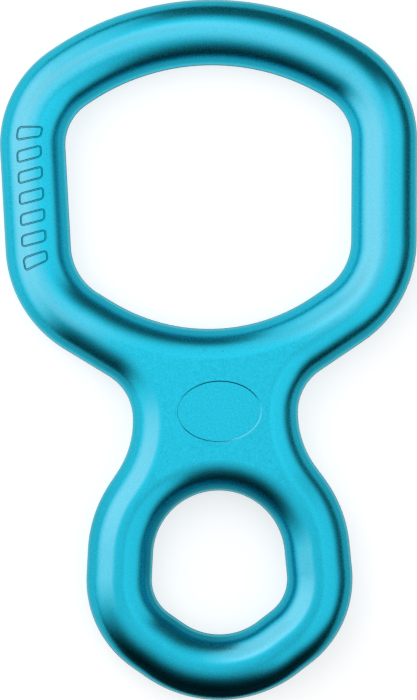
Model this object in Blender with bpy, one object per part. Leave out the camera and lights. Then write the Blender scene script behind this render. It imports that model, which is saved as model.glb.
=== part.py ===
"""Figure eight descender, a belay and abseil device for climbing and rescue.

It is one solid forging: a round bar that runs around a large rope eye and a small carabiner eye, with
a flat web where the two rings meet. It lies flat: +Z is up through its thickness, +Y points from the
carabiner eye to the rope eye, and the origin is on the underside, under the middle of its length.
"""

import math
from collections import namedtuple

import bmesh
import bpy
from mathutils import Vector

for old in list(bpy.data.objects):
    bpy.data.objects.remove(old, do_unlink=True)

mm = 0.001

# The bar and the web
bar_width = 11.2 * mm
thickness = 11.0 * mm
ring_gap = 5.3 * mm                # metal of the web between the two bars, along the axis
waist_width = 28.3 * mm            # across the narrowest place of the web
crest_land = 0.3 * mm              # flat left along the top of the round bar
parting_land = 0.1 * mm            # upright band left where the two dies met

# The rope eye: an arched top, sides that draw in downwards, round hips, straight flanks, a bowed bottom
rope_eye_width = 49.1 * mm
rope_eye_length = 45.2 * mm
rope_eye_top_radius = 37.4 * mm
rope_eye_shoulder_radius = 8.2 * mm
rope_eye_side_lean = math.radians(1.7)
rope_eye_hip_radius = 9.8 * mm
rope_eye_flank_slope = math.radians(32.7)
rope_eye_bow_width = 34.1 * mm     # across the bowed part of the bottom, from flank to flank

# The carabiner eye: a round top, sides that spread downwards, round hips, straight flanks, a bowed bottom
carabiner_eye_width = 23.2 * mm
carabiner_eye_length = 24.7 * mm
carabiner_eye_side_spread = math.radians(4.2)
carabiner_eye_hip_radius = 7.0 * mm
carabiner_eye_flank_slope = math.radians(36.3)
carabiner_eye_bow_width = 12.8 * mm

# The waist, where the outside of one ring turns into the outside of the other
waist_upper_radius = 8.6 * mm
waist_lower_radius = 15.6 * mm
neck_slope = math.radians(55.0)    # of the outside just above the small ring

# How finely the round shapes are cut into flats
outline_sag = 0.03 * mm            # most that a flat lies inside its arc
longest_flat = 3.0 * mm
shortest_flat = 0.05 * mm
rounding_steps = 6
merging_distance = 0.01 * mm

anodised_turquoise = (0.013, 0.485, 0.686, 1.0)

# Places along the axis, from the end of the small ring to the end of the large one
overall_length = 4 * bar_width + carabiner_eye_length + ring_gap + rope_eye_length
small_ring_end = -overall_length / 2
carabiner_eye_bottom = small_ring_end + bar_width
carabiner_eye_top = carabiner_eye_bottom + carabiner_eye_length
rope_eye_bottom = carabiner_eye_top + 2 * bar_width + ring_gap
rope_eye_top = rope_eye_bottom + rope_eye_length

UP = math.pi / 2
DOWN = -math.pi / 2

Spot = namedtuple("Spot", "point outward")      # a point of an outline, and its outward direction


class Edge:
    """A straight stretch of the right half of an outline, followed from its top end to its bottom end."""

    def __init__(self, point, heading):
        self.point = Vector(point)
        self.heading = heading

    def along(self):
        return Vector((math.cos(self.heading), math.sin(self.heading)))

    def outward(self):
        return Vector((-math.sin(self.heading), math.cos(self.heading)))

    def moved_out(self, distance):
        return Edge(self.point + self.outward() * distance, self.heading)

    def meets(self, other):
        across = other.outward()
        reach = (other.point - self.point).dot(across) / self.along().dot(across)
        return self.point + self.along() * reach


def touching(centre, radius, heading):
    """The edge with this heading that touches a circle, at the place where it does."""
    return Edge(centre, heading).moved_out(radius)


def arc(centre, radius, start, turn, bulge=1):
    """Spots along an arc, from the angle start through the angle turn. A bulge of -1 curves in."""
    step = 2 * math.acos(1 - outline_sag / radius)
    count = max(2, math.ceil(abs(turn) / step))
    spots = []
    for k in range(count + 1):
        angle = start + turn * k / count
        ray = Vector((math.cos(angle), math.sin(angle)))
        spots.append(Spot(centre + ray * radius, ray * bulge))
    return spots


def fillet(upper, lower, radius):
    """The arc that joins two edges of an outline, bulging out or curving in as they need."""
    turn = lower.heading - upper.heading
    bulge = -math.copysign(1, turn)
    tangent_length = radius * math.tan(abs(turn) / 2)
    start = upper.meets(lower) - upper.along() * tangent_length
    centre = start - upper.outward() * radius * bulge
    return arc(centre, radius, upper.heading + UP * bulge, turn, bulge)


def radii_that_fit(edges, radii):
    """Each radius as it is, or smaller where the arcs at an edge's two ends need more than its length."""
    pairs = list(zip(edges, edges[1:]))
    ends = [edges[0].point] + [upper.meets(lower) for upper, lower in pairs] + [edges[-1].point]
    lengths = [(there - here).length for here, there in zip(ends, ends[1:])]
    tangents = [r * math.tan(abs(low.heading - up.heading) / 2) for r, (up, low) in zip(radii, pairs)]
    needs = [above + below for above, below in zip([0] + tangents, tangents + [0])]
    shares = [min(1, length / need) for length, need in zip(lengths, needs)]
    return [radius * min(above, below) for radius, above, below in zip(radii, shares, shares[1:])]


def with_flats_split(spots):
    """The same spots, with more between any two that lie further apart than the longest flat."""
    whole = []
    for here, there in zip(spots, spots[1:]):
        length = (there.point - here.point).length
        if length < shortest_flat:
            continue
        count = math.ceil(length / longest_flat)
        whole += [Spot(here.point.lerp(there.point, k / count), here.outward) for k in range(count)]
    return whole + [spots[-1]]


def half_outline(top_centre, top_radius, edges, radii, bottom_centre, bottom_radius):
    """The right half of an outline: an arc from the axis, the edges with their fillets, an arc back."""
    spots = arc(top_centre, top_radius, UP, edges[0].heading)
    for upper, lower, radius in zip(edges, edges[1:], radii_that_fit(edges, radii)):
        spots += fillet(upper, lower, radius)
    last = edges[-1].heading + UP
    spots += arc(bottom_centre, bottom_radius, last, DOWN - last)
    return with_flats_split(spots)


# The rope eye, whose top arc runs straight into its shoulders
rope_top_centre = Vector((0, rope_eye_top - rope_eye_top_radius))
shoulder_x = rope_eye_width / 2 - rope_eye_shoulder_radius
shoulder_reach = rope_eye_top_radius - rope_eye_shoulder_radius
shoulder_slope = math.asin(shoulder_x / shoulder_reach)
shoulder_centre = rope_top_centre + Vector((shoulder_x, shoulder_reach * math.cos(shoulder_slope)))

rope_bow_radius = rope_eye_bow_width / 2 / math.sin(rope_eye_flank_slope)
rope_bow_centre = Vector((0, rope_eye_bottom + rope_bow_radius))

rope_eye_edges = [
    touching(rope_top_centre, rope_eye_top_radius, -shoulder_slope),
    touching(shoulder_centre, rope_eye_shoulder_radius, DOWN - rope_eye_side_lean),
    touching(rope_bow_centre, rope_bow_radius, rope_eye_flank_slope - math.pi),
]
rope_eye_radii = radii_that_fit(rope_eye_edges, [rope_eye_shoulder_radius, rope_eye_hip_radius])

rope_eye_half = half_outline(
    rope_top_centre, rope_eye_top_radius, rope_eye_edges, rope_eye_radii,
    rope_bow_centre, rope_bow_radius)

# The carabiner eye, which is widest at its hips and whose top arc runs straight into its sides
carabiner_bow_radius = carabiner_eye_bow_width / 2 / math.sin(carabiner_eye_flank_slope)
carabiner_bow_centre = Vector((0, carabiner_eye_bottom + carabiner_bow_radius))
flank = touching(carabiner_bow_centre, carabiner_bow_radius, carabiner_eye_flank_slope - math.pi)

hip_line = Edge((carabiner_eye_width / 2 - carabiner_eye_hip_radius, 0), DOWN)
hip_centre = hip_line.meets(flank.moved_out(-carabiner_eye_hip_radius))
side = touching(hip_centre, carabiner_eye_hip_radius, DOWN + carabiner_eye_side_spread)

side_reach = side.point.dot(side.outward())
carabiner_top_radius = (side_reach - carabiner_eye_top * side.outward().y) / (1 - side.outward().y)
carabiner_top_centre = Vector((0, carabiner_eye_top - carabiner_top_radius))
side = touching(carabiner_top_centre, carabiner_top_radius, side.heading)

carabiner_eye_edges = [side, flank]
carabiner_eye_radii = radii_that_fit(carabiner_eye_edges, [carabiner_eye_hip_radius])

carabiner_eye_half = half_outline(
    carabiner_top_centre, carabiner_top_radius, carabiner_eye_edges, carabiner_eye_radii,
    carabiner_bow_centre, carabiner_bow_radius)

# The outside of each ring follows its eye one bar width away, and the waist joins the two
collar_radius = carabiner_top_radius + bar_width
waist = Edge((waist_width / 2, 0), DOWN)
neck = touching(carabiner_top_centre, collar_radius, -neck_slope)

outside_edges = [edge.moved_out(bar_width) for edge in rope_eye_edges]
outside_edges += [waist, neck]
outside_edges += [edge.moved_out(bar_width) for edge in carabiner_eye_edges]
outside_radii = [radius + bar_width for radius in rope_eye_radii]
outside_radii += [waist_upper_radius, waist_lower_radius, collar_radius]
outside_radii += [radius + bar_width for radius in carabiner_eye_radii]

outside_half = half_outline(
    rope_top_centre, rope_eye_top_radius + bar_width, outside_edges, outside_radii,
    carabiner_bow_centre, carabiner_bow_radius + bar_width)

# The bar's round: how far in from the rim and how high each line of it runs, from underside to top
rounding = min(bar_width - crest_land, thickness - parting_land) / 2
lower_round = []
for k in range(rounding_steps + 1):
    tilt = math.pi / 2 * k / rounding_steps
    lower_round.append((rounding * (1 - math.sin(tilt)), rounding * (1 - math.cos(tilt))))
whole_round = lower_round + [(inset, thickness - height) for inset, height in reversed(lower_round)]

metal = bmesh.new()


def round_surface(half, into_metal):
    """The rounded edge along half an outline. Returns its lowest and its highest line of vertices."""
    lines = []
    for inset, height in whole_round:
        line = []
        for spot in half:
            place = spot.point + spot.outward * into_metal * inset
            line.append(metal.verts.new((place.x, place.y, height)))
        lines.append(line)
    for low, high in zip(lines, lines[1:]):
        for corners in zip(low, low[1:], high[1:], high):
            metal.faces.new(corners)
    return lines[0], lines[-1]


outside_low, outside_high = round_surface(outside_half, -1)
carabiner_low, carabiner_high = round_surface(carabiner_eye_half, 1)
rope_low, rope_high = round_surface(rope_eye_half, 1)

# The flat of the web, which narrows to a thin land along the crest of the bar
metal.faces.new(outside_low + carabiner_low[::-1] + rope_low[::-1])
metal.faces.new(outside_high + carabiner_high[::-1] + rope_high[::-1])
bmesh.ops.recalc_face_normals(metal, faces=metal.faces)

forging = bpy.data.meshes.new("forged_body")
metal.to_mesh(forging)
metal.free()
forging.shade_smooth()

forged_body = bpy.data.objects.new("forged_body", forging)
bpy.context.scene.collection.objects.link(forged_body)

# The left half is the mirror image of the right one, and the two meet on the axis
other_half = forged_body.modifiers.new("other_half", "MIRROR")
other_half.merge_threshold = merging_distance

anodising = bpy.data.materials.new("anodised_aluminium")
anodising.use_nodes = True
surface = anodising.node_tree.nodes["Principled BSDF"]
surface.inputs["Base Color"].default_value = anodised_turquoise
surface.inputs["Metallic"].default_value = 1.0
surface.inputs["Roughness"].default_value = 0.28
forging.materials.append(anodising)

print(f"forged body: {overall_length / mm:.2f} mm long, {thickness / mm:.2f} mm thick,"
      f" rounded to {rounding / mm:.2f} mm, {len(outside_half)} spots around each half's outside")
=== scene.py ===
# %% [markdown]
# # A figure eight descender in anodised aluminium
#
# The real object is one piece of metal. A hot aluminium bar is pressed between two dies, the thin flash
# that squeezes out at the parting line is trimmed off, the forging is tumbled until it is smooth, and it
# is anodised turquoise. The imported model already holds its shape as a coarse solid. This script makes the
# fine surface that an eye or a camera sees, in the same place and at the same size.

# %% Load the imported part
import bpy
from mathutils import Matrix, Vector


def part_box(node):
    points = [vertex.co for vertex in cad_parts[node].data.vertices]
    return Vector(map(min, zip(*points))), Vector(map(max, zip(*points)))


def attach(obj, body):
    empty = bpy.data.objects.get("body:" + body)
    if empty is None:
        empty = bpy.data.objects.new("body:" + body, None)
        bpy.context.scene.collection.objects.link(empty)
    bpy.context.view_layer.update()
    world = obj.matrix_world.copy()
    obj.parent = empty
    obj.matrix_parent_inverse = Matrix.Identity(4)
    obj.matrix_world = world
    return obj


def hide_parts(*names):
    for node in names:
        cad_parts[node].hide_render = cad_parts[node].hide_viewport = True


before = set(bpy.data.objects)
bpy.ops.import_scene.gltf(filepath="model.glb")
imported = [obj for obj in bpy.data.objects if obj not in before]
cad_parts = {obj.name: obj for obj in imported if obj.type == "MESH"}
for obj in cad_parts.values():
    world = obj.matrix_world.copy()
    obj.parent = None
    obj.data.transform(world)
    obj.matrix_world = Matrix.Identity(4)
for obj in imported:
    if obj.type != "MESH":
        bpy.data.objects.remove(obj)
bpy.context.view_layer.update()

# %% Tools
import math
from collections import namedtuple

import bmesh
import bpy
from mathutils import Matrix, Vector

mm = 0.001
UP = math.pi / 2
DOWN = -math.pi / 2

# %% [markdown]
# ## The sizes that shape it
#
# A figure eight is drawn with arcs and straight edges: two eyes, and an outside that follows them one bar
# width away. A modeller could push and pull a mesh until it matches a picture, but a drawing with radii
# is what the maker of the dies used, and it keeps every curve smooth. The whole length, the width and the
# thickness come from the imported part, and the rest are the radii and slopes of the drawing.

# %% Driving sizes
body_low, body_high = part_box("forged_body")
part_end = body_high.y                  # from the middle of the length to the end of the large ring
thickness = body_high.z - body_low.z
bar_width = 11.2 * mm
ring_gap = 5.3 * mm                     # metal of the web between the two bars, along the axis
waist_width = 28.3 * mm
crest_land = 0.3 * mm                   # flat left along the top of the round bar
box_allowance = 0.01 * mm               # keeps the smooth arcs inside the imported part's flat-sided ones

rope_eye_width = 49.1 * mm
rope_eye_length = 45.2 * mm
rope_eye_top_radius = 37.4 * mm
rope_eye_shoulder_radius = 8.2 * mm
rope_eye_side_lean = math.radians(1.7)
rope_eye_hip_radius = 9.8 * mm
rope_eye_flank_slope = math.radians(32.7)
rope_eye_bow_width = 34.1 * mm

carabiner_eye_width = 23.2 * mm
carabiner_eye_length = 24.7 * mm
carabiner_eye_side_spread = math.radians(4.2)
carabiner_eye_hip_radius = 7.0 * mm
carabiner_eye_flank_slope = math.radians(36.3)
carabiner_eye_bow_width = 12.8 * mm

waist_upper_radius = 8.6 * mm
waist_lower_radius = 15.6 * mm
neck_slope = math.radians(55.0)

rope_eye_top = part_end - bar_width
rope_eye_bottom = rope_eye_top - rope_eye_length
carabiner_eye_top = rope_eye_bottom - 2 * bar_width - ring_gap
carabiner_eye_bottom = carabiner_eye_top - carabiner_eye_length
print(f"rope eye from {rope_eye_bottom / mm:.1f} to {rope_eye_top / mm:.1f} mm,"
      f" carabiner eye from {carabiner_eye_bottom / mm:.1f} to {carabiner_eye_top / mm:.1f} mm")


# %% [markdown]
# ## Drawing an outline
#
# Each outline is described like the route of a bar through a bending machine: straight runs with a bend
# between them. An edge is known by a point on it and its heading, and a bend by its centre, its radius
# and how far it turns. Only the right half is drawn, from the top of the axis round to the bottom,
# because the part is symmetric.

# %% Edges and bends
class Edge:
    """A straight stretch of the right half of an outline, followed from its top end to its bottom end."""

    def __init__(self, point, heading):
        self.point = Vector(point)
        self.heading = heading

    def along(self):
        return Vector((math.cos(self.heading), math.sin(self.heading)))

    def outward(self):
        return Vector((-math.sin(self.heading), math.cos(self.heading)))

    def moved_out(self, distance):
        return Edge(self.point + self.outward() * distance, self.heading)

    def meets(self, other):
        """The place where this edge, made longer if need be, crosses another."""
        across = other.outward()
        ahead = (other.point - self.point).dot(across) / self.along().dot(across)
        return self.point + self.along() * ahead


Bend = namedtuple("Bend", "centre radius heading turn bulge")


def touching(centre, radius, heading):
    """The edge with this heading that touches a circle."""
    return Edge(centre, heading).moved_out(radius)


def corner(upper, lower, radius):
    """The bend that rounds the corner between two edges."""
    turn = lower.heading - upper.heading
    bulge = -math.copysign(1, turn)
    start = upper.meets(lower) - upper.along() * radius * math.tan(abs(turn) / 2)
    return Bend(start - upper.outward() * radius * bulge, radius, upper.heading, turn, bulge)


def route(top, edges, radii, bottom):
    """The bends of half an outline. Its top and bottom are a centre and a radius each, on the axis."""
    bends = [Bend(*top, 0, edges[0].heading, 1)]
    bends += [corner(upper, lower, radius) for upper, lower, radius in zip(edges, edges[1:], radii)]
    return bends + [Bend(*bottom, edges[-1].heading, -math.pi - edges[-1].heading, 1)]


def foot(bend, turned=0):
    """The place on a bend's outline after it has turned so far."""
    return touching(bend.centre, bend.radius * bend.bulge, bend.heading + turned).point


# %% The rope eye
rope_top_centre = Vector((0, rope_eye_top - rope_eye_top_radius))
shoulder_x = rope_eye_width / 2 - rope_eye_shoulder_radius
shoulder_reach = rope_eye_top_radius - rope_eye_shoulder_radius
shoulder_slope = math.asin(shoulder_x / shoulder_reach)
shoulder_centre = rope_top_centre + Vector((shoulder_x, shoulder_reach * math.cos(shoulder_slope)))

rope_bow_radius = rope_eye_bow_width / 2 / math.sin(rope_eye_flank_slope)
rope_bow_centre = Vector((0, rope_eye_bottom + rope_bow_radius))

rope_edges = [
    touching(rope_top_centre, rope_eye_top_radius, -shoulder_slope),
    touching(shoulder_centre, rope_eye_shoulder_radius, DOWN - rope_eye_side_lean),
    touching(rope_bow_centre, rope_bow_radius, rope_eye_flank_slope - math.pi),
]
rope_radii = [rope_eye_shoulder_radius, rope_eye_hip_radius]
rope_route = route((rope_top_centre, rope_eye_top_radius), rope_edges, rope_radii,
                   (rope_bow_centre, rope_bow_radius))
print("rope eye:", len(rope_route), "bends in each half")

# %% The carabiner eye
carabiner_bow_radius = carabiner_eye_bow_width / 2 / math.sin(carabiner_eye_flank_slope)
carabiner_bow_centre = Vector((0, carabiner_eye_bottom + carabiner_bow_radius))
flank = touching(carabiner_bow_centre, carabiner_bow_radius, carabiner_eye_flank_slope - math.pi)

hip_line = Edge((carabiner_eye_width / 2 - carabiner_eye_hip_radius, 0), DOWN)
hip_centre = hip_line.meets(flank.moved_out(-carabiner_eye_hip_radius))
side = touching(hip_centre, carabiner_eye_hip_radius, DOWN + carabiner_eye_side_spread)
side_reach = side.point.dot(side.outward())
carabiner_top_radius = (side_reach - carabiner_eye_top * side.outward().y) / (1 - side.outward().y)
carabiner_top_centre = Vector((0, carabiner_eye_top - carabiner_top_radius))

carabiner_edges = [touching(carabiner_top_centre, carabiner_top_radius, side.heading), flank]
carabiner_route = route((carabiner_top_centre, carabiner_top_radius), carabiner_edges,
                        [carabiner_eye_hip_radius], (carabiner_bow_centre, carabiner_bow_radius))
print(f"carabiner eye: its top is an arc of {carabiner_top_radius / mm:.2f} mm")

# %% The outside
collar_radius = carabiner_top_radius + bar_width
waist = Edge((waist_width / 2, 0), DOWN)
neck = touching(carabiner_top_centre, collar_radius, -neck_slope)

belt = bar_width - box_allowance
outside_edges = [edge.moved_out(belt) for edge in rope_edges]
outside_edges += [waist, neck]
outside_edges += [edge.moved_out(belt) for edge in carabiner_edges]
outside_radii = [radius + belt for radius in rope_radii]
outside_radii += [waist_upper_radius, waist_lower_radius, collar_radius]
outside_radii += [carabiner_eye_hip_radius + belt]
outside_route = route((rope_top_centre, rope_eye_top_radius + belt), outside_edges, outside_radii,
                      (carabiner_bow_centre, carabiner_bow_radius + belt))
print("outside:", len(outside_route), "bends in each half")

# %% [markdown]
# ## Bending the bar
#
# The edge of the forging is half a circle in section, the same all the way round. So one section is drawn
# on the axis and carried along the route: the spin operator takes it round each bend, and an extrusion
# takes it along each straight run. A bevel on a flat plate would be quicker to write, but it breaks where
# a wide rounding meets a tight inside curve, and it knows nothing of the trimmed parting line. That line
# is drawn here: a narrow flat land that stands a hair proud at half height, where the press sheared off
# the flash.

# %% The section of the bar
trim_width = 0.7 * mm
trim_proud = 0.05 * mm
rounding = (bar_width - crest_land) / 2
round_radius = rounding - trim_proud
section_steps = 28                      # facets in a quarter of the round
bend_step = math.radians(2.4)
merging_distance = 0.002 * mm

metal = bmesh.new()


def verts_of(geometry):
    return [piece for piece in geometry if isinstance(piece, bmesh.types.BMVert)]


def edges_of(geometry):
    return [piece for piece in geometry if isinstance(piece, bmesh.types.BMEdge)]


def spun(geometry, centre, axis, turn, steps):
    """Carries geometry round an axis, leaving a surface or a line behind it, and returns its last place."""
    made = bmesh.ops.spin(metal, geom=geometry, cent=centre, axis=axis, angle=turn, steps=steps,
                          use_duplicate=False)
    return made["geom_last"]


def stepped(vert, shift):
    """Draws a line from a vertex to a new one."""
    made = bmesh.ops.extrude_vert_indiv(metal, verts=[vert])
    bmesh.ops.translate(metal, verts=made["verts"], vec=shift)
    return made["verts"][0]


def half_round(rim, inward):
    """The section on the axis, from its land on the underside to its land on top."""
    older = set(metal.edges)
    crest = rim + inward * rounding
    trim_start = (thickness - trim_width) / 2 - trim_proud
    sweep = UP - math.asin((round_radius - trim_start) / round_radius)
    tip = metal.verts.new((0, crest, 0))
    (tip,) = verts_of(spun([tip], (0, crest, round_radius), (-inward, 0, 0), sweep, section_steps))
    to_rim = rim - tip.co.y
    tip = stepped(tip, (0, to_rim, trim_proud))
    tip = stepped(tip, (0, 0, trim_width))
    tip = stepped(tip, (0, -to_rim, trim_proud))
    spun([tip], (0, crest, thickness - round_radius), (-inward, 0, 0), sweep, section_steps)
    return [edge for edge in metal.edges if edge not in older]


# %% Carrying the section along its route
def carried_straight(line, shift):
    """Extrudes a chain of edges along a straight run and returns the chain at its far end."""
    made = bmesh.ops.extrude_edge_only(metal, edges=line)["geom"]
    far = set(verts_of(made))
    bmesh.ops.translate(metal, verts=list(far), vec=(*shift, 0))
    return [edge for edge in edges_of(made) if far.issuperset(edge.verts)]


def carried_round(line, bend):
    """Spins a chain of edges round a bend and returns the chain at its far end."""
    steps = max(1, math.ceil(abs(bend.turn) / bend_step))
    return edges_of(spun(line, (*bend.centre, 0), (0, 0, 1), bend.turn, steps))


def bent_bar(bends, inward):
    """The rounded edge along half an outline."""
    line = half_round(foot(bends[0]).y, inward)
    place = foot(bends[0])
    for bend in bends:
        run = foot(bend) - place
        if run.length > merging_distance:
            line = carried_straight(line, run)
        line = carried_round(line, bend)
        place = foot(bend, bend.turn)


bent_bar(outside_route, -1)
bent_bar(rope_route, 1)
bent_bar(carabiner_route, 1)
print(len(metal.faces), "faces along the right half of the three outlines")

# %% [markdown]
# ## Closing the forging
#
# The left half is the mirror image of the right one. The flats that are left open on top and underneath
# are the web, which narrows to a thin land along the crest of each ring. Filling them with one triangle
# fill copes with the two eyes, which a single face could not have as holes.

# %% Mirror and fill
bmesh.ops.mirror(metal, geom=metal.verts[:] + metal.edges[:] + metal.faces[:], merge_dist=merging_distance,
                 axis="X")
bmesh.ops.remove_doubles(metal, verts=metal.verts, dist=merging_distance)
for level in (0, thickness):
    rims = [edge for edge in metal.edges
            if edge.is_boundary and all(abs(vert.co.z - level) < merging_distance for vert in edge.verts)]
    bmesh.ops.triangle_fill(metal, use_beauty=True, use_dissolve=False, edges=rims)
bmesh.ops.recalc_face_normals(metal, faces=metal.faces)
open_edges = [edge for edge in metal.edges if not edge.is_manifold]
print(len(metal.faces), "faces,", len(open_edges), "open edges,", round(metal.calc_volume() * 1e9), "mm3")

# %% The piece
def solid(name, mesh):
    """Turns a bmesh into an object of the scene."""
    data = bpy.data.meshes.new(name)
    mesh.to_mesh(data)
    mesh.free()
    thing = bpy.data.objects.new(name, data)
    bpy.context.scene.collection.objects.link(thing)
    return thing


body = solid("anodised_forging", metal)
print("one piece with", len(body.data.vertices), "vertices")

# %% [markdown]
# ## Marks from the dies
#
# The upper die leaves two marks in the metal: a row of slanted bars, drawn in outline along the left
# limb, and a blank oval pad sunk into the web. Bumps in the finish would fade at a low angle, so both are
# cut from the metal. Each cutter starts as flat faces that are raised above the metal and inset below it,
# which gives the marks the leaning walls that let a forging leave its die.

# %% Cutting
above_metal = 0.03 * mm                 # where the walls of a cutter start, clear of the metal's own faces
cutter_height = 0.2 * mm


def deepened(cutter, profile):
    """Closes flat faces upwards, and sinks them in steps of so far inwards and so far down."""
    soles = cutter.faces[:]
    raised = bmesh.ops.extrude_face_region(cutter, geom=soles)["geom"]
    bmesh.ops.translate(cutter, verts=verts_of(raised), vec=(0, 0, cutter_height))
    bmesh.ops.recalc_face_normals(cutter, faces=cutter.faces)
    for inwards, down in profile:
        bmesh.ops.inset_region(cutter, faces=soles, thickness=inwards, depth=down, use_even_offset=True)


def cut(name, cutter):
    """Takes a closed shape out of the forging. The cutter itself doesn't stay in the scene."""
    if cutter.calc_volume(signed=True) < 0:
        bmesh.ops.reverse_faces(cutter, faces=cutter.faces[:])
    tool = solid(name, cutter)
    taking = body.modifiers.new(name, "BOOLEAN")
    taking.operation = "DIFFERENCE"
    taking.solver = "EXACT"
    taking.object = tool
    evaluated = body.evaluated_get(bpy.context.evaluated_depsgraph_get())
    shaped = bpy.data.meshes.new_from_object(evaluated)
    body.modifiers.clear()
    uncut = body.data
    body.data = shaped
    bpy.data.meshes.remove(uncut)
    bpy.data.meshes.remove(tool.data)
    shaped.name = "anodised_forging"
    print(name, "leaves", len(shaped.polygons), "faces")


# %% The blank pad on the web
pad_centre = Vector((0.7 * mm, -10.5 * mm, thickness + above_metal))
pad_half_length = 7.3 * mm
pad_half_width = 5.3 * mm
pad_segments = 96
pad_profile = [(0.10 * mm, 0.05 * mm), (0.06 * mm, 0.05 * mm),
               (0.06 * mm, 0.04 * mm), (0.08 * mm, 0.02 * mm)]

pad = bmesh.new()
bmesh.ops.create_circle(pad, cap_ends=True, radius=1, segments=pad_segments)
bmesh.ops.scale(pad, vec=(pad_half_length, pad_half_width, 1), verts=pad.verts)
bmesh.ops.translate(pad, vec=pad_centre, verts=pad.verts)
deepened(pad, pad_profile)
cut("oval_pad", pad)

# %% The crest of the left limb
crest_edges = [edge.moved_out(bar_width / 2) for edge in rope_edges]
shoulder = corner(crest_edges[0], crest_edges[1], rope_radii[0] + bar_width / 2)
hip = corner(crest_edges[1], crest_edges[2], rope_radii[1] + bar_width / 2)
limb_run = (foot(hip) - foot(shoulder, shoulder.turn)).length


def over_limb(along, across, above):
    """A place by its distance down the crest, its distance out from it and its height over the metal."""
    if along < 0:
        crest = touching(shoulder.centre, shoulder.radius, hip.heading - along / shoulder.radius)
    elif along > limb_run:
        crest = touching(hip.centre, hip.radius, hip.heading - (along - limb_run) / hip.radius)
    else:
        crest = touching(hip.centre, hip.radius, hip.heading)
        crest.point += crest.along() * (along - limb_run)
    plan = crest.point + crest.outward() * across
    from_land = max(0, abs(across) - crest_land / 2)
    drop = round_radius - math.sqrt(round_radius ** 2 - from_land ** 2)
    return Vector((-plan.x, plan.y, thickness - drop + above))


print(f"the straight of the limb is {limb_run / mm:.1f} mm long")

# %% The slanted bars
bar_count = 7
bar_pitch = 3.6 * mm
first_bar = -2.6 * mm                   # from the start of the straight to the middle of the first one
row_offset = 0.5 * mm                   # how far the row lies outside the crest
bar_across = 4.4 * mm
bar_along = 2.2 * mm
bar_slant = 0.9 * mm
bar_corner = 0.7 * mm
corner_segments = 5
straight_cuts = 7                       # lets a bar's straight sides follow the round of the limb
groove_width = 0.36 * mm
groove_profile = [(0.11 * mm, 0.23 * mm)]

row = bmesh.new()
for number in range(bar_count):
    middle = first_bar + number * bar_pitch
    corners = []
    for end, side in ((-1, -1), (1, -1), (1, 1), (-1, 1)):
        down_limb = middle + end * bar_along / 2 + side * bar_slant / 2
        corners.append(row.verts.new((down_limb, row_offset + side * bar_across / 2, above_metal)))
    row.faces.new(corners)
bmesh.ops.bevel(row, geom=row.verts[:], offset=bar_corner, offset_type="OFFSET", segments=corner_segments,
                profile=0.5, affect="VERTICES", material=-1)
insides = row.faces[:]
bmesh.ops.inset_region(row, faces=insides, thickness=groove_width, use_boundary=True, use_even_offset=True)
bmesh.ops.delete(row, geom=insides, context="FACES")
straights = [edge for edge in row.edges if edge.calc_length() > 1.5 * groove_width]
bmesh.ops.subdivide_edges(row, edges=straights, cuts=straight_cuts, use_grid_fill=True)
deepened(row, groove_profile)
for vert in row.verts:
    vert.co = over_limb(*vert.co)
cut("slanted_bars", row)

# %% Smooth and sharp
sharp_angle = math.radians(18)
forging = body.data
forging.shade_smooth()
forging.set_sharp_from_angle(angle=sharp_angle)
flat_normals = body.modifiers.new("flat_normals", "WEIGHTED_NORMAL")
flat_normals.keep_sharp = True
print(sum(not edge.use_edge_sharp for edge in forging.edges), "soft edges of", len(forging.edges))

# %% [markdown]
# ## Writing shader maths as sums
#
# A finish is worked out from many small nodes, and a node tree written link by link hides what it means.
# So a small class wraps an output socket and lets Python's own operators add the Math nodes: 1 - mask
# reads the way it is thought. Every other node comes from one method, which takes the node's type, its
# settings and its inputs.

# %% Sockets that add up
class Wire:
    """An output socket that can be used in a sum."""

    def __init__(self, finish, socket):
        self.finish = finish
        self.socket = socket

    def maths(self, operation, *others):
        inputs = dict(enumerate((self, *others)))
        node = self.finish.node("ShaderNodeMath", {"operation": operation}, inputs)
        return Wire(self.finish, node.outputs[0])

    def __add__(self, other):
        return self.maths("ADD", other)

    __radd__ = __add__

    def __sub__(self, other):
        return self.maths("SUBTRACT", other)

    def __rsub__(self, other):
        return self.maths("MULTIPLY_ADD", -1.0, other)

    def __mul__(self, other):
        return self.maths("MULTIPLY", other)

    __rmul__ = __mul__

    def most(self, other):
        return self.maths("MAXIMUM", other)

    def size(self):
        return self.maths("ABSOLUTE")

    def rise(self, start, end):
        """0 below start and 1 above end, with a soft step between them."""
        node = self.finish.node("ShaderNodeMapRange", {"interpolation_type": "SMOOTHSTEP"},
                                {"Value": self, "From Min": start, "From Max": end})
        return Wire(self.finish, node.outputs["Result"])


class Finish:
    """The node tree of a material or a world."""

    def __init__(self, owner):
        self.owner = owner
        owner.use_nodes = True
        self.tree = owner.node_tree
        self.tree.nodes.clear()

    def node(self, kind, settings=None, inputs=None):
        """Adds a node: its settings come first, because they change which sockets it has."""
        node = self.tree.nodes.new(kind)
        for name, value in (settings or {}).items():
            setattr(node, name, value)
        for name, value in (inputs or {}).items():
            if isinstance(value, Wire):
                self.tree.links.new(value.socket, node.inputs[name])
            else:
                node.inputs[name].default_value = value
        return node

    def wire(self, kind, settings=None, inputs=None, output=0):
        return Wire(self, self.node(kind, settings, inputs).outputs[output])

    def parts(self, vector):
        """The three numbers of a vector."""
        split = self.node("ShaderNodeSeparateXYZ", inputs={0: vector})
        return [Wire(self, socket) for socket in split.outputs]
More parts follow.
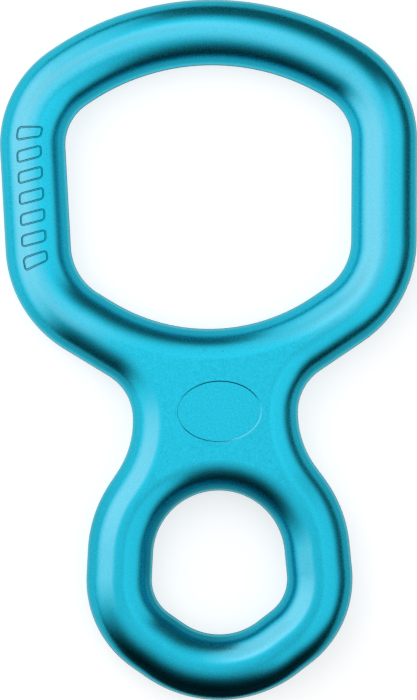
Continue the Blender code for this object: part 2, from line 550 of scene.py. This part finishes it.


# %% [markdown]
# ## Turquoise anodising
#
# Anodising grows a clear film of oxide on the aluminium, and dye fills its pores. So the colour is in the
# metal's own reflections, which a fully metallic base gives, and the film adds a thin white gloss on top,
# which the coat gives. The finish is not the same all over, and painting it by hand would tie it to one
# mesh. Here each part of it follows a mask, which is worked out from where a point lies and how the
# surface leans there, in the piece's own space. So it holds from any side.

# %% Where the surface lies
anodising = Finish(bpy.data.materials.new("turquoise_anodising"))
coordinates = anodising.node("ShaderNodeTexCoord")
place = Wire(anodising, coordinates.outputs["Object"])
along = anodising.parts(place)[1]

rope_side = along.rise(0, 6 * mm)                       # the rope ring
carabiner_side = 1 - along.rise(-10 * mm, 6 * mm)       # the web and the small ring
small_ring = 1 - along.rise(-26 * mm, -19 * mm)
on_web = (1 - along.rise(1 * mm, 3 * mm)) * along.rise(-26 * mm, -22 * mm)

small_eye_middle = (0, (carabiner_eye_top + carabiner_eye_bottom) / 2, 0)
from_small_eye = anodising.wire("ShaderNodeVectorMath", {"operation": "DISTANCE"},
                                {0: place, 1: small_eye_middle}, "Value")
in_small_eye = 1 - from_small_eye.rise(14.5 * mm, 16.5 * mm)
upper_half = along.rise(-37 * mm, -30 * mm)
small_eye_shoulder = (1 - from_small_eye.rise(16.5 * mm, 19 * mm)) * upper_half
print(f"the small eye's middle is at {small_eye_middle[1] / mm:.1f} mm")

# %% [markdown]
# Tumbling polishes the rounded bars, but it hardly reaches the flat web. The flanks are darkened a little
# with painted shade, most of all inside the small eye. The normal tells them apart: its upward part is
# the cosine of the tilt, which is 1 on the flats and 0 at the parting line.

# %% How steeply it leans
normal = Wire(anodising, coordinates.outputs["Normal"])
lean_across, lean_along, lean_up = anodising.parts(normal)
facing = lean_up.size()
leaning = (1 - facing * facing).most(0.0001).maths("SQRT")      # the sine, kept from being 0

flat_web = facing.rise(0.9990, 0.9999) * on_web         # tilted by a degree or two at most
rounding_ends = carabiner_side * 0.045 + 0.93           # a tilt of 22 degrees, or 13 on web and small ring
rounded = 1 - facing.rise(rounding_ends, 0.998)
not_steep = facing.rise(0.70, 0.86)                     # fades out from a tilt of 31 to one of 46 degrees
steep = 1 - facing.rise(0.58, 0.78)                     # fades in from 39 to 55 degrees
flank = steep * facing.rise(0.28, 0.44)                 # and stops short of the parting line
small_eye_flank = steep * facing.rise(0.2, 0.4) * in_small_eye
# the band of tilts where the black boards show in the metal
dark_line = (1 - facing.rise(0.70, 0.82)) * facing.rise(0.42, 0.54)     # from 46 to 57 degrees
print(len(anodising.tree.nodes), "nodes for the place and the tilt")

# %% [markdown]
# In the photograph the highlights are whitish only on the sides that lean to the left, on the big ring,
# or to the upper left, on the web and the small ring. So the gloss is a painted sheen: it is kept for the
# sides that face the left lamp and for the crest of the big ring, and it also lightens the colour there as
# a painted highlight, and everywhere else the bright lines stay turquoise. The flanks carry painted shade,
# lightest on the left, and painted shade deepens the dark lines on the sides that lean down the part. A
# heading is the way a side leans in plan, and a side is told by the share of its whole lean that goes that
# way.

# %% Which way it leans
left_heading = Vector((-0.94, 0.34))
rope_ring_lamp = Vector((-0.98, 0.21))
small_ring_lamp = Vector((-0.74, 0.67))
lamp_turn = small_ring_lamp - rope_ring_lamp


def share(lean, start, end):
    """0 to 1 where the share of the lean that goes one way rises from start to end."""
    return lean.maths("DIVIDE", leaning).rise(start, end)


to_left = lean_across * left_heading.x + lean_along * left_heading.y
lamp_across = carabiner_side * lamp_turn.x + rope_ring_lamp.x
lamp_along = carabiner_side * lamp_turn.y + rope_ring_lamp.y
left_side = share(to_left, 0.15, 0.85)
lamp_side = share(lean_across * lamp_across + lean_along * lamp_along, 0.4, 1)
lower_side = share(0 - lean_along, 0.2, 0.8)

# The gloss is a painted sheen, placed on the sides that face the left lamp and on the crest of the big
# ring.
crest_gloss = (0.4 + to_left * 3).most(0)
gloss = rounded * lamp_side * not_steep * (1 - small_eye_shoulder)
gloss = gloss + (1 - rounded) * rope_side * crest_gloss
print("the lamp's heading turns by", round(math.degrees(rope_ring_lamp.angle(small_ring_lamp))), "degrees")

# %% [markdown]
# Under a lens the film is finely grained, most of all on the web, with a few pits that tumbling left
# behind. And painted shade darkens the stamped grooves, where metal stands close by on both sides, and
# takes the gloss out of them.

# %% Grain, clouds, pits and grooves
grain_size = 0.32 * mm
cloud_size = 7 * mm
dent_size = 11 * mm
pit_spacing = 1.6 * mm
groove_reach = 0.5 * mm


def noise(size, detail=2.0):
    """Soft lumps of about this size, from 0 to 1."""
    return anodising.wire("ShaderNodeTexNoise", inputs={
        "Vector": place, "Scale": 1 / size, "Detail": detail, "Roughness": 0.5})


grain = noise(grain_size)
clouds = noise(cloud_size)
dents = noise(dent_size, detail=1.0)

cells = anodising.node("ShaderNodeTexVoronoi", inputs={"Vector": place, "Scale": 1 / pit_spacing})
chance = anodising.parts(Wire(anodising, cells.outputs["Color"]))[0]
from_middle = Wire(anodising, cells.outputs["Distance"])
pits = (1 - from_middle.rise(0.04, 0.11)) * chance.rise(0.90, 0.92)

# Ambient occlusion finds the grooves; it drives painted shade there.
crevice = anodising.node("ShaderNodeAmbientOcclusion", {"samples": 8, "only_local": True},
                         {"Distance": groove_reach})
groove = 1 - Wire(anodising, crevice.outputs["AO"]).rise(0.35, 0.95)
print(f"grain of {grain_size / mm:.2f} mm, and cells of {pit_spacing / mm:.1f} mm, few of them with a pit")

# %% Colour, roughness and relief
turquoise = (0.019, 0.505, 0.70)
edge_tint = (0.55, 0.70, 0.66, 1)       # of the metal's reflections at a low angle
film_index = 2.1                        # above the oxide's own, for a gloss as strong as the photograph's
film_roughness = 0.26
dent_depth = 0.02 * mm
grain_relief = 0.012 * mm
bar_grain = 0.5                         # of the relief on the web

bar_roughness = 0.27
web_roughness = 0.07                    # comes on top of the bar's
cloud_roughness = 0.06
grain_roughness = 0.04

grain_contrast = 0.30 + flat_web * 0.26
cloud_contrast = 0.06
pit_darkness = 0.35
# painted shade in the grooves
groove_shade = 0.6
# painted shade on the flanks, lighter on the sides that lean to the left, toward the lamp
flank_shade = 0.34 - left_side * 0.23
# painted shade inside the small eye, lighter on the left
small_eye_shade = 0.45 - left_side * 0.35
# painted shade that deepens the dark lines on sides that lean down the part, most on the web and small ring
dark_line_shade = 0.12 + carabiner_side * 0.25
# painted shade that darkens the whole small ring
small_ring_shade = 0.08
# painted highlight: the colour is lightened where the gloss is, most on the small ring
painted_highlight = 0.04 + small_ring * 0.12

# Grain, clouds and pits are the film's own tone; the other factors are painted shade and a painted
# highlight.
tone = 1 + (grain - 0.5) * grain_contrast + (clouds - 0.5) * cloud_contrast - pits * pit_darkness
tone = tone * (1 - flank * flank_shade) * (1 - groove * groove_shade)
tone = tone * (1 - small_eye_flank * small_eye_shade)
tone = tone * (1 - lower_side * dark_line * dark_line_shade)
tone = tone * (1 - small_ring * small_ring_shade) * (1 + gloss * painted_highlight)
dye_and_painted_light = anodising.wire("ShaderNodeVectorMath", {"operation": "SCALE"}, {0: turquoise, "Scale": tone})
roughness = bar_roughness + flat_web * web_roughness
roughness = roughness + (clouds - 0.5) * cloud_roughness + (grain - 0.5) * grain_roughness
relief = grain * (bar_grain + flat_web * (1 - bar_grain)) - pits

slow = anodising.wire("ShaderNodeBump", inputs={"Strength": 1.0, "Distance": dent_depth, "Height": dents})
fine = anodising.wire("ShaderNodeBump", inputs={
    "Strength": 1.0, "Distance": grain_relief, "Height": relief, "Normal": slow})

shader = anodising.wire("ShaderNodeBsdfPrincipled", inputs={
    "Base Color": dye_and_painted_light, "Metallic": 1.0, "Roughness": roughness, "Normal": fine,
    "Specular Tint": edge_tint, "Coat Weight": gloss * (1 - groove),
    "Coat Roughness": film_roughness, "Coat IOR": film_index})
anodising.node("ShaderNodeOutputMaterial", inputs={"Surface": shader})
forging.materials.append(anodising.owner)
print(len(anodising.tree.nodes), "nodes in the anodised finish")

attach(body, "root")
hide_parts("forged_body")

# %% [markdown]
# ## The studio
#
# Polished metal has no look of its own: it shows the room. So most of the likeness is in what stands
# round the part, and each thing here is one that a product photographer would use. A large soft light
# hangs overhead, a tall one stands close at the left, a wide one at the right and a small one at the far
# end. Black boards lie and stand where the dark lines along the bars come from. None of them is visible
# to the camera. Their places and sizes were worked out from mirror rays: each ray was followed from a
# point of the bar to the room, and the lights were moved until the bright and dark lines fell on the bar
# where the photograph has them. Each light is given by its middle, the vectors to the middles of two of
# its sides, its glow and how much of it fades out.

# %% Things of the studio
def set_piece(name, mesh, finish):
    """Adds something that isn't part of the object."""
    flat = bpy.data.meshes.new(name)
    mesh.to_mesh(flat)
    mesh.free()
    flat.materials.append(finish.owner)
    thing = bpy.data.objects.new(name, flat)
    bpy.context.scene.collection.objects.link(thing)
    return thing


def unseen(thing):
    """Hides a thing from the camera. It still shows in the metal, and it casts no shadow."""
    thing.visible_camera = False
    thing.visible_shadow = False
    return thing


def glowing(name, glow):
    """A finish of even brightness."""
    finish = Finish(bpy.data.materials.new(name))
    shader = finish.wire("ShaderNodeEmission", inputs={"Strength": glow})
    finish.node("ShaderNodeOutputMaterial", inputs={"Surface": shader})
    return finish


def panel(name, middle, across, up, glow, fade):
    """A soft light: a sheet spanned by two half sides, whose glow fades out over this share of each."""
    sheet = bmesh.new()
    sheet.loops.layers.uv.new("spread")
    bmesh.ops.create_grid(sheet, x_segments=1, y_segments=1, size=1, calc_uvs=True)
    across, up = Vector(across), Vector(up)
    frame_of_sheet = Matrix((across, up, across.cross(up).normalized())).transposed().to_4x4()
    frame_of_sheet.translation = Vector(middle)
    bmesh.ops.transform(sheet, matrix=frame_of_sheet, verts=sheet.verts)

    finish = Finish(bpy.data.materials.new(name))
    place = finish.wire("ShaderNodeTexCoord", output="UV")
    u, v, _ = finish.parts(place)
    from_side = (1 - (u * 2 - 1).size()) * across.length
    from_end = (1 - (v * 2 - 1).size()) * up.length
    mask = from_side.rise(0, fade * across.length) * from_end.rise(0, fade * up.length)
    light = finish.wire("ShaderNodeEmission", inputs={"Strength": glow})
    clear = finish.wire("ShaderNodeBsdfTransparent")
    mixed = finish.wire("ShaderNodeMixShader", inputs={0: mask, 1: clear, 2: light})
    finish.node("ShaderNodeOutputMaterial", inputs={"Surface": mixed})
    print(f"{name}: {2 * across.length:.2f} x {2 * up.length:.2f} m")
    return unseen(set_piece(name, sheet, finish))


# %% Lights
soft_edge = 0.2

panel("overhead_light", middle=(-0.17, 0.41, 0.745), across=(0.84, 0, 0), up=(0, 1.26, 0), glow=1.61,
      fade=1.02)
panel("left_light", middle=(-0.128, 0.246, 0.193), across=(0, 0.375, 0), up=(0, 0, 0.41), glow=1.15,
      fade=soft_edge)
panel("right_light", middle=(0.326, -0.265, 0.88), across=(0, 0.557, 0), up=(0, 0, 0.83), glow=1.15,
      fade=soft_edge)
panel("end_light", middle=(-0.077, 0.094, 0.192), across=(0.081, 0, 0), up=(0, 0, 0.118), glow=1.03,
      fade=soft_edge)

# %% Boards and walls
wall_distance = 2.5
wall_grey = 0.107
board_grey = 0.045
board_half = 1.0
board_lift = 0.05 * mm
opening_left = -0.095
opening_right = 0.069
opening_near = -0.066
opening_far = 0.091

walls = bmesh.new()
bmesh.ops.create_icosphere(walls, subdivisions=4, radius=wall_distance)
unseen(set_piece("studio_walls", walls, glowing("grey_wall", wall_grey)))

# This board is a panel that doesn't glow.
panel("end_board", middle=(0.47, -0.245, -0.208), across=(1.153, 0, 0), up=(0, 0, 0.504), glow=0.0,
      fade=0.44)

low_boards = bmesh.new()
bmesh.ops.create_grid(low_boards, x_segments=1, y_segments=1, size=board_half)
opening = low_boards.faces[:]
bmesh.ops.inset_region(low_boards, faces=opening, thickness=board_half / 2, use_boundary=True)
for vert in opening[0].verts:
    vert.co.x = opening_right if vert.co.x > 0 else opening_left
    vert.co.y = opening_far if vert.co.y > 0 else opening_near
bmesh.ops.delete(low_boards, geom=opening, context="FACES")
bmesh.ops.translate(low_boards, verts=low_boards.verts, vec=(0, 0, board_lift))
boards = unseen(set_piece("black_boards", low_boards, glowing("black_board", board_grey)))
boards.visible_diffuse = False
opening_width = opening_right - opening_left
opening_length = opening_far - opening_near
print(f"the low boards leave an opening of {opening_width:.3f} x {opening_length:.3f} m round the part")

# %% [markdown]
# ## White paper
#
# The part lies on white paper that shows as white all the way to the horizon. The lights are set for the
# metal and would leave the paper grey, so rays from the camera, from mirrors and through glass find it
# glowing, less near the part, where its soft shadow has to stay visible, and fully further out. The same
# holds for the world behind it.

# %% Floor
paper_grey = (0.55, 0.55, 0.55, 1)
paper_half = 2.0
paper_drop = 0.02 * mm
shadow_reach = 0.10
all_white = 0.35
near_glow = 0.62


def shown_rays(finish):
    """1 for the rays that show a background, and 0 for those that light the part."""
    rays = finish.node("ShaderNodeLightPath")
    shown = Wire(finish, rays.outputs["Is Camera Ray"]).most(Wire(finish, rays.outputs["Is Glossy Ray"]))
    return shown.most(Wire(finish, rays.outputs["Is Transmission Ray"]))


paper = Finish(bpy.data.materials.new("white_paper"))
paper_place = paper.wire("ShaderNodeTexCoord", output="Object")
from_part = paper.wire("ShaderNodeVectorMath", {"operation": "LENGTH"}, {0: paper_place}, "Value")
far = from_part.rise(shadow_reach, all_white)
glow = shown_rays(paper) * (near_glow + far * (1 - near_glow))
matt = paper.wire("ShaderNodeBsdfDiffuse", inputs={"Color": paper_grey})
white = paper.wire("ShaderNodeEmission", inputs={"Strength": glow})
both = paper.wire("ShaderNodeAddShader", inputs={0: matt, 1: white})
paper.node("ShaderNodeOutputMaterial", inputs={"Surface": both})

ground = bmesh.new()
bmesh.ops.create_grid(ground, x_segments=1, y_segments=1, size=paper_half)
bmesh.ops.translate(ground, verts=ground.verts, vec=(0, 0, -paper_drop))
set_piece("floor", ground, paper)
print(f"white paper, {2 * paper_half} m square")

# %% World
studio = bpy.data.worlds.new("studio")
bpy.context.scene.world = studio
air = Finish(studio)
sky = air.wire("ShaderNodeBackground", inputs={"Color": (1, 1, 1, 1), "Strength": shown_rays(air)})
air.node("ShaderNodeOutputWorld", inputs={"Surface": sky})

# %% [markdown]
# ## Camera
#
# The photograph looks straight down on the part with a long lens, so the bars show no slant, and the part
# is turned by a degree and a half in it. The camera is turned instead, and the part stays square in its
# own space. The part fills the photograph's height, so the distance follows from the lens.

# %% Camera
view_length = 120.0 * mm                # what the photograph's longer side takes in
view_turn = math.radians(1.436)
view_aside = -0.89 * mm
lens = 270
sensor = 36
distance = view_length * lens / sensor

camera_data = bpy.data.cameras.new("camera")
camera_data.lens = lens
camera_data.sensor_width = sensor
camera_data.clip_end = 10
camera = bpy.data.objects.new("camera", camera_data)
bpy.context.scene.collection.objects.link(camera)
camera.location = (view_aside, 0.0, thickness / 2 + distance)
camera.rotation_euler = (0, 0, -view_turn)
bpy.context.scene.camera = camera
bpy.context.scene.view_settings.view_transform = "Standard"
print(f"the camera looks down from {distance:.2f} m above the part")
